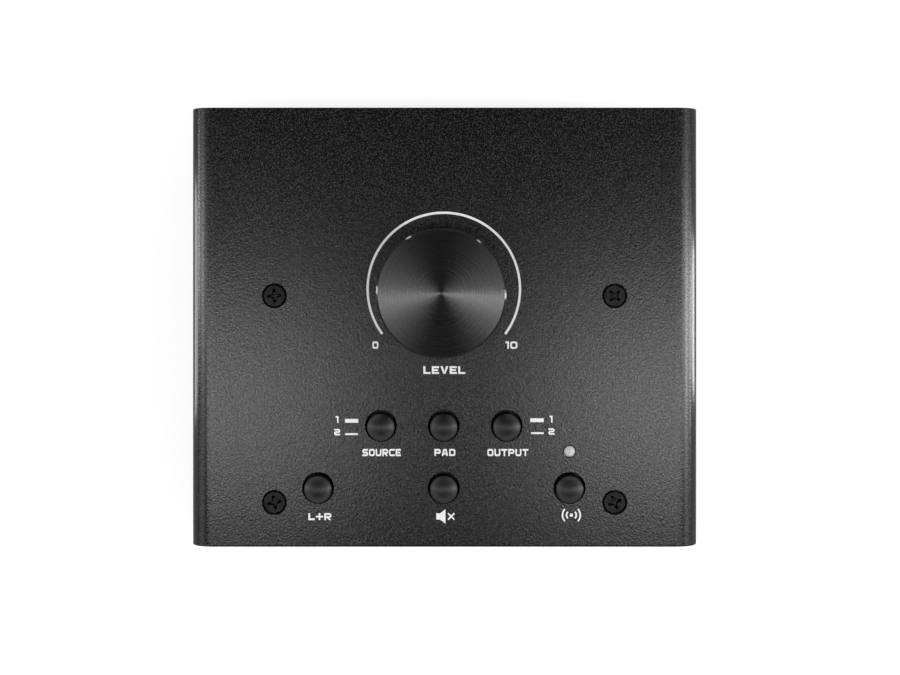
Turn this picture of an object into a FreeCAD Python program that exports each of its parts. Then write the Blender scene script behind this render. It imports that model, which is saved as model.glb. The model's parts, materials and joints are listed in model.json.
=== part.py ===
import FreeCAD
import Part
import math
import os

# Studio monitor controller: a folded steel case with a volume knob and six push buttons on its top
# face, and sockets on its rear panel. Millimetres, +X right, +Y to the rear, +Z up. The origin is on
# the surface that the feet stand on, under the middle of the case.

Vector = FreeCAD.Vector
UP = Vector(0, 0, 1)
DOWN = Vector(0, 0, -1)
REARWARD = Vector(0, 1, 0)

# Case: a cover folded into an upside-down U over a base with a front wall and a low rear lip
WIDTH = 131.4
DEPTH = 113.6
BODY_HEIGHT = 42.0
FOOT_HEIGHT = 4.0
COVER_WALL = 1.5
BEND_INSIDE = 4.5
CUT_EDGE_ROUND = 0.4
BASE_WALL = 1.2
BASE_BEND_INSIDE = 0.8
CASE_GAP = 0.3
FRONT_RECESS = 1.0
REAR_RECESS = 3.0
PANEL_WALL = 1.2
REAR_LIP_RISE = 6.4

# Tabs on the base that take the screws through the cover's sides
TAB_LENGTH = 12.0
TAB_WALL = 1.2
TAB_SCREW_Y = 36.0
TAB_SCREW_DROP = 11.0
TAB_MARGIN = 5.0
TAB_NUT_RADIUS = 2.8
TAB_NUT_LENGTH = 2.0

# Fasteners, all with a 3 mm thread
THREAD_RADIUS = 1.5
THREAD_FIT = 0.03
CLEARANCE_RADIUS = 1.65
COUNTERSINK_RADIUS = 3.25
COUNTERSINK_RIM = 0.3
COUNTERSUNK_HEAD_RADIUS = 2.8
HEAD_SINK = 0.2
HEAD_EDGE_BREAK = 0.12
SEAT_GAP = 0.02
PAN_HEAD_RADIUS = 2.8
PAN_HEAD_HEIGHT = 1.7
CROSS_ARM = 1.85
CROSS_TIP_WIDTH = 0.55
CROSS_ROOT_WIDTH = 1.1
CROSS_DEPTH = 1.3
CROSS_TAPER = 0.55
TOP_SCREW_LENGTH = 5.0
SIDE_SCREW_LENGTH = 3.6
BOARD_SCREW_LENGTH = 6.0
PANEL_SCREW_LENGTH = 5.0
FOOT_SCREW_LENGTH = 6.0

# Places on the top face
CENTRE_LINE_X = -0.2
KNOB_X = -0.8
KNOB_Y = 9.0
BUTTON_PITCH = 16.25
FRONT_ROW_INSET = 15.25
ROW_PITCH = 16.05
LAMP_SET_BACK = 9.45
KEY_OFFSET = 0.3
TOP_SCREW_X = 44.0
REAR_SCREW_Y = 8.1
FRONT_SCREW_INSET = 11.5
TOP_SCREW_TURNS = (4.0, 45.0, 12.0, 22.0)

# Control board, hung from the top face
BOARD_DROP = 12.0
BOARD_WALL = 1.6
BOARD_CORNER = 2.0
CONTROL_BOARD_HALF_WIDTH = 50.0
CONTROL_BOARD_INSET = 5.3
CONTROL_BOARD_REAR = 20.0
STANDOFF_FLATS = 5.5

# Potentiometer, with two gangs, and the knob on its shaft
POT_WIDTH = 17.0
POT_WALL = 1.2
POT_CAVITY_RADIUS = 7.3
WAFER_RADIUS = 7.2
WAFER_WALL = 0.8
WAFER_GAP = 0.3
ROTOR_RADIUS = 6.9
ROTOR_DISC = 1.6
ROTOR_HUB_RADIUS = 4.2
SHAFT_RADIUS = 3.0
SHAFT_FIT = 0.05
BUSHING_RADIUS = 3.5
BUSHING_FLANGE_RADIUS = 4.5
BUSHING_FLANGE = 1.0
BUSHING_RISE = 4.0
POT_HOLE_GAP = 0.15
POT_WASHER_RADIUS = 6.0
POT_WASHER_WALL = 0.5
POT_NUT_FLATS = 10.0
POT_NUT_HEIGHT = 2.0
KNOB_RADIUS = 16.3
KNOB_HEIGHT = 18.2
KNOB_GAP = 0.8
KNOB_EDGE_BREAK = 0.45
KNOB_WALL = 2.2
KNOB_TOP_WALL = 3.0
POINTER_WIDTH = 1.3
POINTER_LENGTH = 2.4
POINTER_DEPTH = 0.25
POINTER_INSET = 0.9
INSERT_DISC = 4.0
INSERT_HUB_RADIUS = 5.5
INSERT_CLEARANCE = 1.0
SHAFT_FLAT = 1.5
SHAFT_SHORT = 1.0

# Push buttons
BUTTON_HOLE_RADIUS = 4.0
BUTTON_HOLE_BREAK = 0.15
CAP_RADIUS = 3.5
CAP_RISE = 2.8
CAP_DOME = 1.2
CAP_EDGE_BREAK = 0.2
CAP_SOCKET_DEPTH = 4.0
BUTTON_TRAVEL = 2.6
CAP_STOP_GAP = 0.4
SWITCH_WIDTH = 8.0
SWITCH_WALL = 0.8
SWITCH_LID = 1.0
SWITCH_CORNER = 0.6
PLUNGER_GAP = 0.2
PLUNGER_BLOCK = 4.4
PLUNGER_BLOCK_HEIGHT = 1.9
STEM_WIDTH = 2.6

# Status lamp
LAMP_RADIUS = 1.45
LAMP_HOLE_RADIUS = 1.7
LAMP_RISE = 1.0
LAMP_LENGTH = 5.3
LAMP_FLANGE_RADIUS = 1.9
LAMP_FLANGE = 1.0
LAMP_SPACER_RADIUS = 2.5
LAMP_SPACER_BORE = 1.2

# Feet
FOOT_RADIUS = 6.0
FOOT_TAPER = 0.5
FOOT_EDGE_ROUND = 0.6
FOOT_INSET = 14.0
FOOT_WEB = 2.0
FOOT_POCKET_RADIUS = 3.2

# Input and output board, on the floor
IO_STANDOFF_HEIGHT = 7.0
IO_FRONT_STRIP = 16.7
IO_EDGE_GAP = 1.0
IO_STANDOFF_INSET = 7.0
IO_SCREW_LENGTH = 5.0
IO_BORE_FLOOR = 1.0

# Sockets, evenly spread along the rear panel between the tabs
JACK_COUNT = 6
JACK_WIDTH = 13.6
JACK_HEIGHT = 13.0
JACK_BORE_RADIUS = 3.2
JACK_BORE_LENGTH = 30.5
JACK_END_WALL = 1.3
JACK_CORNER = 0.6
JACK_BUSHING_RADIUS = 4.75
JACK_BUSHING_ROOT = 4.0
JACK_BUSHING_END = 0.1
JACK_WASHER_RADIUS = 6.5
JACK_WASHER_WALL = 0.5
JACK_NUT_FLATS = 12.0
JACK_NUT_HEIGHT = 2.0
PANEL_HOLE_GAP = 0.15
MINI_WIDTH = 7.0
MINI_HEIGHT = 6.4
MINI_DEPTH = 12.0
MINI_NECK_RADIUS = 3.0
MINI_BORE_RADIUS = 1.8
MINI_BORE_LENGTH = 14.0
MINI_NUT_RADIUS = 4.2
MINI_NUT_HEIGHT = 1.8
INLET_WIDTH = 9.0
INLET_HEIGHT = 11.0
INLET_DEPTH = 14.0
INLET_NECK_RADIUS = 4.0
INLET_NECK_RISE = 0.5
INLET_BORE_RADIUS = 2.85
INLET_BORE_LENGTH = 10.0
INLET_PIN_RADIUS = 1.05
INLET_PIN_ROOT = 1.5
INLET_PIN_SINK = 0.8

# Power switch: a rocker on two trunnions
POWER_FLANGE_WIDTH = 10.4
POWER_FLANGE_LENGTH = 15.4
POWER_FLANGE = 1.2
POWER_BODY_WIDTH = 9.0
POWER_BODY_LENGTH = 14.0
POWER_BODY_DEPTH = 12.0
ROCKER_WIDTH = 6.4
ROCKER_HALF_LENGTH = 5.0
ROCKER_TIP = 2.7
ROCKER_WAIST = 2.0
ROCKER_SHOULDER = 1.5
ROCKER_KEEL = 3.6
ROCKER_KEEL_HALF = 2.6
ROCKER_SIDE_GAP = 0.3
ROCKER_END_GAP = 0.6
ROCKER_THROW = 20.0
ROCKER_PIVOT_SINK = 1.0
TRUNNION_RADIUS = 0.8
TRUNNION_LENGTH = 0.8
POWER_TERMINAL_WIDTH = 4.0
POWER_TERMINAL_WALL = 0.8
POWER_TERMINAL_LENGTH = 5.0

# Parts on the boards
MODULE_X = 33.0
MODULE_Y = -8.0
MODULE_LENGTH = 27.0
MODULE_WIDTH = 13.0
MODULE_BOARD = 1.0
MODULE_CAN_LENGTH = 18.0
MODULE_CAN_MARGIN = 1.0
MODULE_CAN_HEIGHT = 2.0
CHIP_LENGTH = 9.8
CHIP_WIDTH = 6.4
CHIP_HEIGHT = 3.4
CHIP_EDGE_BREAK = 0.5
CHIP_X = -26.0
CHIP_FIRST_Y = -12.0
CHIP_PITCH = 11.0
CHIP_COUNT = 3
CAPACITOR_RADIUS = 4.0
CAPACITOR_HEIGHT = 11.5
CAPACITOR_EDGE_ROUND = 0.7
CAPACITOR_FIRST_X = 12.0
CAPACITOR_PITCH = 10.5
CAPACITOR_COUNT = 4
CAPACITOR_SET_FORWARD = 8.4
REGULATOR_END_INSET = 12.0
REGULATOR_SET_FORWARD = 27.6
REGULATOR_WIDTH = 10.0
REGULATOR_WALL = 4.4
REGULATOR_TAB_WALL = 1.3
REGULATOR_BODY_HEIGHT = 9.0
REGULATOR_TAB_HEIGHT = 6.4
REGULATOR_LIFT = 2.0
REGULATOR_HOLE_RADIUS = 1.8
HEADER_X = -22.0
HEADER_LENGTH = 24.0
HEADER_WIDTH = 6.0
HEADER_HEIGHT = 4.6
PLUG_LENGTH = 22.0
PLUG_WIDTH = 4.8
PLUG_HEIGHT = 4.0
UPPER_HEADER_Y = -22.0
LOWER_HEADER_SET_FORWARD = 10.7
RIBBON_WIDTH = 20.3
RIBBON_WALL = 0.9
RIBBON_SAG = 5.0

# Levels, from the surface up
TOP_FACE = FOOT_HEIGHT + BODY_HEIGHT
COVER_UNDER = TOP_FACE - COVER_WALL
FLOOR_TOP = FOOT_HEIGHT + BASE_WALL
CONTROL_BOARD_TOP = COVER_UNDER - BOARD_DROP
CONTROL_BOARD_UNDER = CONTROL_BOARD_TOP - BOARD_WALL
IO_BOARD_UNDER = FLOOR_TOP + IO_STANDOFF_HEIGHT
IO_BOARD_TOP = IO_BOARD_UNDER + BOARD_WALL
TAB_SCREW_Z = TOP_FACE - TAB_SCREW_DROP
REAR_LIP_TOP = FLOOR_TOP + REAR_LIP_RISE
PANEL_SCREW_Z = FLOOR_TOP + REAR_LIP_RISE / 2

# Places across and along the case
COVER_INSIDE_X = WIDTH / 2 - COVER_WALL
BASE_HALF_WIDTH = COVER_INSIDE_X - CASE_GAP
FRONT_FACE = -DEPTH / 2 + FRONT_RECESS
REAR_FACE = DEPTH / 2 - REAR_RECESS
PANEL_INNER = REAR_FACE - PANEL_WALL
LIP_INNER = PANEL_INNER - BASE_WALL
TAB_INNER_X = COVER_INSIDE_X - TAB_WALL
IO_BOARD_HALF_WIDTH = TAB_INNER_X - IO_EDGE_GAP
IO_BOARD_REAR = LIP_INNER - IO_EDGE_GAP
CONTROL_BOARD_FRONT = -DEPTH / 2 + CONTROL_BOARD_INSET
FRONT_SCREW_Y = -DEPTH / 2 + FRONT_SCREW_INSET
TAPPED_RADIUS = THREAD_RADIUS + THREAD_FIT

# Push buttons: each hole is so many pitches from the centre line, in one of the two rows
FRONT_ROW_Y = -DEPTH / 2 + FRONT_ROW_INSET
REAR_ROW_Y = FRONT_ROW_Y + ROW_PITCH
BUTTONS = {
    "source": (CENTRE_LINE_X - BUTTON_PITCH, REAR_ROW_Y),
    "pad": (CENTRE_LINE_X, REAR_ROW_Y),
    "output": (CENTRE_LINE_X + BUTTON_PITCH, REAR_ROW_Y),
    "mono": (CENTRE_LINE_X - 2 * BUTTON_PITCH, FRONT_ROW_Y),
    "mute": (CENTRE_LINE_X, FRONT_ROW_Y),
    "wireless": (CENTRE_LINE_X + 2 * BUTTON_PITCH, FRONT_ROW_Y),
}
KEYS = {name: (x, y - KEY_OFFSET) for name, (x, y) in BUTTONS.items()}
LAMP_X = CENTRE_LINE_X + 2 * BUTTON_PITCH
LAMP_Y = FRONT_ROW_Y + LAMP_SET_BACK
TOP_SCREWS = [(x, y) for y in (REAR_SCREW_Y, FRONT_SCREW_Y) for x in (-TOP_SCREW_X, TOP_SCREW_X)]

# Heights in the pot and under the buttons
POT_CEILING = COVER_UNDER - POT_WALL
POT_FLOOR = CONTROL_BOARD_TOP + POT_WALL
ROTOR_BOTTOM = POT_FLOOR + WAFER_WALL + WAFER_GAP
ROTOR_TOP = POT_CEILING - BUSHING_FLANGE - WAFER_GAP
BUSHING_TOP = TOP_FACE + BUSHING_RISE
KNOB_BOTTOM = TOP_FACE + KNOB_GAP
KNOB_TOP = KNOB_BOTTOM + KNOB_HEIGHT
KNOB_CEILING = KNOB_TOP - KNOB_TOP_WALL
INSERT_BOTTOM = BUSHING_TOP + INSERT_CLEARANCE
SHAFT_TOP = KNOB_CEILING - SHAFT_SHORT
SWITCH_CAVITY_FLOOR = CONTROL_BOARD_TOP + SWITCH_WALL
BLOCK_BOTTOM = SWITCH_CAVITY_FLOOR + PLUNGER_GAP + BUTTON_TRAVEL
BLOCK_TOP = BLOCK_BOTTOM + PLUNGER_BLOCK_HEIGHT
SWITCH_CAVITY_TOP = BLOCK_TOP + PLUNGER_GAP
SWITCH_TOP = SWITCH_CAVITY_TOP + SWITCH_LID
CAP_BOTTOM = SWITCH_TOP + CAP_STOP_GAP + BUTTON_TRAVEL
CAP_TOP = TOP_FACE + CAP_RISE
STEM_TOP = CAP_BOTTOM + CAP_SOCKET_DEPTH

# Depths and heights of the sockets
JACK_MOUTH = REAR_FACE + JACK_WASHER_WALL + JACK_NUT_HEIGHT + JACK_BUSHING_END
JACK_BORE_END = JACK_MOUTH - JACK_BORE_LENGTH
JACK_BACK = JACK_BORE_END - JACK_END_WALL
IO_BOARD_FRONT = JACK_BACK - IO_FRONT_STRIP
CAPACITOR_Y = JACK_BACK - CAPACITOR_SET_FORWARD
LOWER_HEADER_Y = JACK_BACK - LOWER_HEADER_SET_FORWARD
REGULATOR_X = IO_BOARD_HALF_WIDTH - REGULATOR_END_INSET
REGULATOR_Y = PANEL_INNER - REGULATOR_SET_FORWARD
JACK_Z = IO_BOARD_TOP + JACK_HEIGHT / 2
MINI_MOUTH = REAR_FACE + MINI_NUT_HEIGHT
MINI_Z = IO_BOARD_TOP + MINI_HEIGHT / 2
INLET_MOUTH = REAR_FACE + INLET_NECK_RISE
INLET_Z = IO_BOARD_TOP + INLET_HEIGHT / 2
POWER_Z = IO_BOARD_TOP + POWER_FLANGE_LENGTH / 2
POWER_FACE = REAR_FACE + POWER_FLANGE
PIVOT_Y = REAR_FACE - ROCKER_PIVOT_SINK


def row_centres(widths, half_room):
    """Centres of pieces that stand in a row with equal spaces between them and at the row's ends."""
    space = (2 * half_room - sum(widths)) / (len(widths) + 1)
    centres = []
    edge = space - half_room
    for width in widths:
        centres.append(edge + width / 2)
        edge += width + space
    return centres


SOCKET_WIDTHS = [JACK_WIDTH] * JACK_COUNT + [MINI_WIDTH, INLET_WIDTH, POWER_FLANGE_WIDTH]
SOCKET_CENTRES = row_centres(SOCKET_WIDTHS, TAB_INNER_X)
JACK_X = SOCKET_CENTRES[:JACK_COUNT]
MINI_X, INLET_X, POWER_X = SOCKET_CENTRES[JACK_COUNT:]
PANEL_SCREW_X = [(JACK_X[i] + JACK_X[i + 1]) / 2 for i in (0, 2, 4)] + [INLET_X]


# Building blocks


def box(x, y, z):
    """A box from three (low, high) pairs."""
    return Part.makeBox(x[1] - x[0], y[1] - y[0], z[1] - z[0], Vector(x[0], y[0], z[0]))


def square_bar(x, y, width, z):
    """An upright bar of square section about (x, y)."""
    half = width / 2
    return box((x - half, x + half), (y - half, y + half), z)


def rod(radius, start, end):
    """A round bar between two points."""
    path = end.sub(start)
    return Part.makeCylinder(radius, path.Length, start, path)


def upright(radius, x, y, z):
    """A round bar about the vertical line through (x, y), from z[0] to z[1]."""
    return rod(radius, Vector(x, y, z[0]), Vector(x, y, z[1]))


def rearward(radius, x, z, y):
    """A round bar along Y through (x, z), from y[0] to y[1]."""
    return rod(radius, Vector(x, y[0], z), Vector(x, y[1], z))


def hexagon(flats, start, end):
    """A hexagonal bar between two points."""
    path = end.sub(start)
    corner = flats / 2 / math.cos(math.pi / 6)
    points = [
        Vector(corner * math.cos(math.pi * i / 3), corner * math.sin(math.pi * i / 3), 0)
        for i in range(7)
    ]
    bar = Part.Face(Part.makePolygon(points)).extrude(Vector(0, 0, path.Length))
    return aimed(bar, start, path)


def aimed(shape, point, direction):
    """A shape modelled about +Z from the origin, moved to a point and turned to a direction."""
    turned = shape.copy()
    move = FreeCAD.Placement(point, FreeCAD.Rotation(UP, direction))
    turned.Placement = move.multiply(shape.Placement)
    return turned


def turned_profile(points):
    """A solid of revolution about +Z from (radius, height) points, closed along the axis."""
    corners = [Vector(r, 0, z) for r, z in points]
    face = Part.Face(Part.makePolygon(corners + corners[:1]))
    return face.revolve(Vector(0, 0, 0), UP, 360)


def lines_along(shape, axis):
    """The straight edges of a shape that run along an axis."""
    found = []
    for edge in shape.Edges:
        if isinstance(edge.Curve, Part.Line):
            if abs(abs(edge.tangentAt(edge.FirstParameter).dot(axis)) - 1) < 1e-6:
                found.append(edge)
    return found


def rounded(shape, radius, axis):
    """A shape with all its straight edges along an axis rounded."""
    return shape.makeFillet(radius, lines_along(shape, axis))


def folded(shape, radius, y, z):
    """A folded sheet with the fold line along X at (y, z) rounded."""
    near = [
        edge
        for edge in lines_along(shape, Vector(1, 0, 0))
        if abs(edge.CenterOfMass.y - y) < 1e-3 and abs(edge.CenterOfMass.z - z) < 1e-3
    ]
    return shape.makeFillet(radius, near)


def arch(half_width, y, z, radius):
    """A block with its two long top edges rounded, as the cover's outside and inside are."""
    block = box((-half_width, half_width), y, z)
    top = [e for e in lines_along(block, REARWARD) if abs(e.CenterOfMass.z - z[1]) < 1e-3]
    return block.makeFillet(radius, top)


def union(shapes):
    """Shapes joined into one solid."""
    whole = shapes[0]
    for shape in shapes[1:]:
        whole = whole.fuse(shape)
    return whole.removeSplitter()


def save(node, solids):
    """One node's solids in one STEP file."""
    shape = solids[0] if len(solids) == 1 else Part.makeCompound(solids)
    shape.exportStep(os.path.join("parts", node + ".step"))


# Fasteners


def cross_recess():
    """The tapered cross of a screwdriver, cut down from z = 0."""
    wires = []
    for scale, z in ((1.0, 0.01), (CROSS_TAPER, -CROSS_DEPTH)):
        arm = CROSS_ARM * scale
        root = CROSS_ROOT_WIDTH / 2 * scale
        tip = CROSS_TIP_WIDTH / 2 * scale
        corners = []
        for quarter in range(4):
            angle = math.pi / 2 * quarter
            for along, across in ((root, -root), (arm, -tip), (arm, tip)):
                x = along * math.cos(angle) - across * math.sin(angle)
                y = along * math.sin(angle) + across * math.cos(angle)
                corners.append(Vector(x, y, z))
        wires.append(Part.makePolygon(corners + corners[:1]))
    return Part.makeLoft(wires, True, True)


def countersunk_screw(face_point, outward, length, turn):
    """A screw in the cover's countersink. face_point is where its axis meets the sheet's outer face."""
    rim = COUNTERSINK_RIM + COUNTERSINK_RADIUS - COUNTERSUNK_HEAD_RADIUS
    neck = COUNTERSINK_RADIUS + COUNTERSINK_RIM - COVER_WALL - SEAT_GAP
    body = turned_profile(
        [
            (0, -HEAD_SINK),
            (COUNTERSUNK_HEAD_RADIUS - HEAD_EDGE_BREAK, -HEAD_SINK),
            (COUNTERSUNK_HEAD_RADIUS, -HEAD_SINK - HEAD_EDGE_BREAK),
            (COUNTERSUNK_HEAD_RADIUS, -rim),
            (neck, -COVER_WALL),
            (THREAD_RADIUS, -COVER_WALL),
            (THREAD_RADIUS, -COVER_WALL - length),
            (0, -COVER_WALL - length),
        ]
    )
    recess = cross_recess()
    recess.rotate(Vector(0, 0, 0), UP, turn)
    recess.translate(Vector(0, 0, -HEAD_SINK))
    return aimed(body.cut(recess), face_point, outward)


def countersink(face_point, outward):
    """The cut that a countersunk screw needs in the cover: a straight rim over a cone."""
    depth = COVER_WALL - COUNTERSINK_RIM
    rim = Part.makeCylinder(COUNTERSINK_RADIUS, COUNTERSINK_RIM, Vector(0, 0, -COUNTERSINK_RIM))
    cone = Part.makeCone(COUNTERSINK_RADIUS - depth, COUNTERSINK_RADIUS, depth, Vector(0, 0, -COVER_WALL))
    return aimed(union([rim, cone]), face_point, outward)


def pan_screw(seat, outward, length):
    """A pan-head screw whose head stands outward from its seat."""
    head = Part.makeCylinder(PAN_HEAD_RADIUS, PAN_HEAD_HEIGHT)
    crown = [e for e in head.Edges if abs(e.CenterOfMass.z - PAN_HEAD_HEIGHT) < 1e-6]
    head = head.makeFillet(PAN_HEAD_HEIGHT / 2, crown)
    shank = rod(THREAD_RADIUS, Vector(0, 0, 0), Vector(0, 0, -length))
    recess = cross_recess()
    recess.translate(Vector(0, 0, PAN_HEAD_HEIGHT))
    return aimed(union([head, shank]).cut(recess), seat, outward)


def standoff(x, y, z, bores):
    """A hexagonal standoff with a tapped hole over each stretch in bores."""
    post = hexagon(STANDOFF_FLATS, Vector(x, y, z[0]), Vector(x, y, z[1]))
    for bore in bores:
        post = post.cut(upright(TAPPED_RADIUS, x, y, bore))
    return post


# Case


def top_cover():
    """The folded sheet with the holes for everything on the top face."""
    outer = arch(WIDTH / 2, (-DEPTH / 2, DEPTH / 2), (FOOT_HEIGHT, TOP_FACE), BEND_INSIDE + COVER_WALL)
    rims = [
        edge
        for edge in outer.Edges
        if all(abs(abs(v.Y) - DEPTH / 2) < 1e-6 for v in edge.Vertexes)
        and edge.BoundBox.YLength < 1e-3
        and edge.BoundBox.ZMax > FOOT_HEIGHT + 1e-3
    ]
    outer = outer.makeFillet(CUT_EDGE_ROUND, rims)
    inner = arch(COVER_INSIDE_X, (-DEPTH, DEPTH), (0, COVER_UNDER), BEND_INSIDE)
    sheet = outer.cut(inner)
    through = (COVER_UNDER - 1, TOP_FACE + 1)
    cuts = [
        upright(BUSHING_RADIUS + POT_HOLE_GAP, KNOB_X, KNOB_Y, through),
        upright(LAMP_HOLE_RADIUS, LAMP_X, LAMP_Y, through),
    ]
    for x, y in BUTTONS.values():
        cuts.append(upright(BUTTON_HOLE_RADIUS, x, y, through))
        mouth = Vector(x, y, TOP_FACE - BUTTON_HOLE_BREAK)
        wide = BUTTON_HOLE_RADIUS + BUTTON_HOLE_BREAK
        cuts.append(Part.makeCone(BUTTON_HOLE_RADIUS, wide, BUTTON_HOLE_BREAK, mouth, UP))
    for x, y in TOP_SCREWS:
        cuts.append(countersink(Vector(x, y, TOP_FACE), UP))
    for point, outward in side_screw_places():
        cuts.append(countersink(point, outward))
    return sheet.cut(Part.makeCompound(cuts))


def side_screw_places():
    """Where the screws meet the cover's sides, and the way each side faces."""
    return [
        (Vector(side * WIDTH / 2, y, TAB_SCREW_Z), Vector(side, 0, 0))
        for side in (-1, 1)
        for y in (-TAB_SCREW_Y, TAB_SCREW_Y)
    ]


def chassis_base():
    """Floor, front wall, rear lip and side tabs, folded from one sheet."""
    width = (-BASE_HALF_WIDTH, BASE_HALF_WIDTH)
    floor = box(width, (FRONT_FACE, PANEL_INNER), (FOOT_HEIGHT, FLOOR_TOP))
    front_y = (FRONT_FACE, FRONT_FACE + BASE_WALL)
    top = COVER_UNDER - CASE_GAP
    front = arch(BASE_HALF_WIDTH, front_y, (FOOT_HEIGHT, top), BEND_INSIDE - CASE_GAP)
    lip = box(width, (LIP_INNER, PANEL_INNER), (FOOT_HEIGHT, REAR_LIP_TOP))
    sheet = union([floor, front, lip])
    for inner, outer in ((front_y[1], front_y[0]), (LIP_INNER, PANEL_INNER)):
        sheet = folded(sheet, BASE_BEND_INSIDE, inner, FLOOR_TOP)
        sheet = folded(sheet, BASE_BEND_INSIDE + BASE_WALL, outer, FOOT_HEIGHT)
    for side in (-1, 1):
        for y in (-TAB_SCREW_Y, TAB_SCREW_Y):
            x = sorted((side * TAB_INNER_X, side * COVER_INSIDE_X))
            along = (y - TAB_LENGTH / 2, y + TAB_LENGTH / 2)
            sheet = sheet.fuse(box(x, along, (FOOT_HEIGHT, TAB_SCREW_Z + TAB_MARGIN)))
    cuts = []
    for point, outward in side_screw_places():
        cuts.append(rod(CLEARANCE_RADIUS, point, point - outward * (COVER_WALL + TAB_WALL + 1)))
    for x in PANEL_SCREW_X:
        cuts.append(rearward(TAPPED_RADIUS, x, PANEL_SCREW_Z, (LIP_INNER - 1, PANEL_INNER + 1)))
    for x, y in foot_places():
        cuts.append(upright(TAPPED_RADIUS, x, y, (FOOT_HEIGHT - 1, FLOOR_TOP + 1)))
    return sheet.removeSplitter().cut(Part.makeCompound(cuts))


def rear_panel():
    """The flat plate that the sockets are clamped to."""
    top = COVER_UNDER - CASE_GAP
    plate = arch(BASE_HALF_WIDTH, (PANEL_INNER, REAR_FACE), (FOOT_HEIGHT, top), BEND_INSIDE - CASE_GAP)
    through = (PANEL_INNER - 1, REAR_FACE + 1)
    cuts = [rearward(JACK_BUSHING_RADIUS + PANEL_HOLE_GAP, x, JACK_Z, through) for x in JACK_X]
    cuts.append(rearward(MINI_NECK_RADIUS + PANEL_HOLE_GAP, MINI_X, MINI_Z, through))
    cuts.append(rearward(INLET_NECK_RADIUS + PANEL_HOLE_GAP, INLET_X, INLET_Z, through))
    cuts += [rearward(CLEARANCE_RADIUS, x, PANEL_SCREW_Z, through) for x in PANEL_SCREW_X]
    half_width = POWER_BODY_WIDTH / 2 + PANEL_HOLE_GAP
    half_length = POWER_BODY_LENGTH / 2 + PANEL_HOLE_GAP
    wide = (POWER_X - half_width, POWER_X + half_width)
    cuts.append(box(wide, through, (POWER_Z - half_length, POWER_Z + half_length)))
    return plate.cut(Part.makeCompound(cuts))


def foot_places():
    """The centres of the four feet."""
    x = WIDTH / 2 - FOOT_INSET
    y = DEPTH / 2 - FOOT_INSET
    return [(-x, -y), (x, -y), (-x, y), (x, y)]


def rubber_foot(x, y):
    """A round foot with a pocket for its screw's head."""
    foot = Part.makeCone(FOOT_RADIUS - FOOT_TAPER, FOOT_RADIUS, FOOT_HEIGHT, Vector(x, y, 0), UP)
    rim = [e for e in foot.Edges if abs(e.CenterOfMass.z) < 1e-6 and len(e.Vertexes) == 1]
    foot = foot.makeFillet(FOOT_EDGE_ROUND, rim)
    foot = foot.cut(upright(FOOT_POCKET_RADIUS, x, y, (-1, FOOT_HEIGHT - FOOT_WEB)))
    return foot.cut(upright(CLEARANCE_RADIUS, x, y, (-1, FOOT_HEIGHT + 1)))


def tab_nut(point, outward):
    """A round nut clinched to the inner face of a tab."""
    inner = point - outward * (COVER_WALL + TAB_WALL)
    end = inner - outward * TAB_NUT_LENGTH
    return rod(TAB_NUT_RADIUS, inner, end).cut(rod(TAPPED_RADIUS, inner + outward, end - outward))


def save_case():
    save("top_cover", [top_cover()])
    save("chassis_base", [chassis_base()])
    save("rear_panel", [rear_panel()])
    save("rubber_feet", [rubber_foot(x, y) for x, y in foot_places()])
    seat = FOOT_HEIGHT - FOOT_WEB
    feet = [pan_screw(Vector(x, y, seat), DOWN, FOOT_SCREW_LENGTH) for x, y in foot_places()]
    save("foot_screws", feet)
    sides = side_screw_places()
    save("tab_nuts", [tab_nut(point, outward) for point, outward in sides])
    screws = [countersunk_screw(p, out, SIDE_SCREW_LENGTH, 0) for p, out in sides]
    save("side_screws", screws)
    panel = [Vector(x, REAR_FACE, PANEL_SCREW_Z) for x in PANEL_SCREW_X]
    save("rear_panel_screws", [pan_screw(p, REARWARD, PANEL_SCREW_LENGTH) for p in panel])


# Control board and what hangs with it


def control_board():
    """The board under the top face, with a hole at each standoff."""
    half = CONTROL_BOARD_HALF_WIDTH
    z = (CONTROL_BOARD_UNDER, CONTROL_BOARD_TOP)
    board = box((-half, half), (CONTROL_BOARD_FRONT, CONTROL_BOARD_REAR), z)
    board = rounded(board, BOARD_CORNER, UP)
    holes = [upright(CLEARANCE_RADIUS, x, y, (z[0] - 1, z[1] + 1)) for x, y in TOP_SCREWS]
    return board.cut(Part.makeCompound(holes))


def save_control_board():
    save("control_board", [control_board()])
    screws = []
    for (x, y), turn in zip(TOP_SCREWS, TOP_SCREW_TURNS):
        screws.append(countersunk_screw(Vector(x, y, TOP_FACE), UP, TOP_SCREW_LENGTH, turn))
    save("top_screws", screws)
    z = (CONTROL_BOARD_TOP, COVER_UNDER)
    save("top_standoffs", [standoff(x, y, z, [(z[0] - 1, z[1] + 1)]) for x, y in TOP_SCREWS])
    seats = [Vector(x, y, CONTROL_BOARD_UNDER) for x, y in TOP_SCREWS]
    save("control_board_screws", [pan_screw(s, DOWN, BOARD_SCREW_LENGTH) for s in seats])


def ring(outer, inner, x, y, z):
    """An upright tube or a flat washer about the line through (x, y)."""
    return upright(outer, x, y, z).cut(upright(inner, x, y, (z[0] - 1, z[1] + 1)))


def flatted_rod(radius, flat, z):
    """The potentiometer's shaft section: a round bar with a flat towards the rear."""
    bar = upright(radius, KNOB_X, KNOB_Y, z)
    beyond = (KNOB_Y + flat, KNOB_Y + 2 * radius)
    return bar.cut(box((KNOB_X - 2 * radius, KNOB_X + 2 * radius), beyond, (z[0] - 1, z[1] + 1)))


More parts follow.
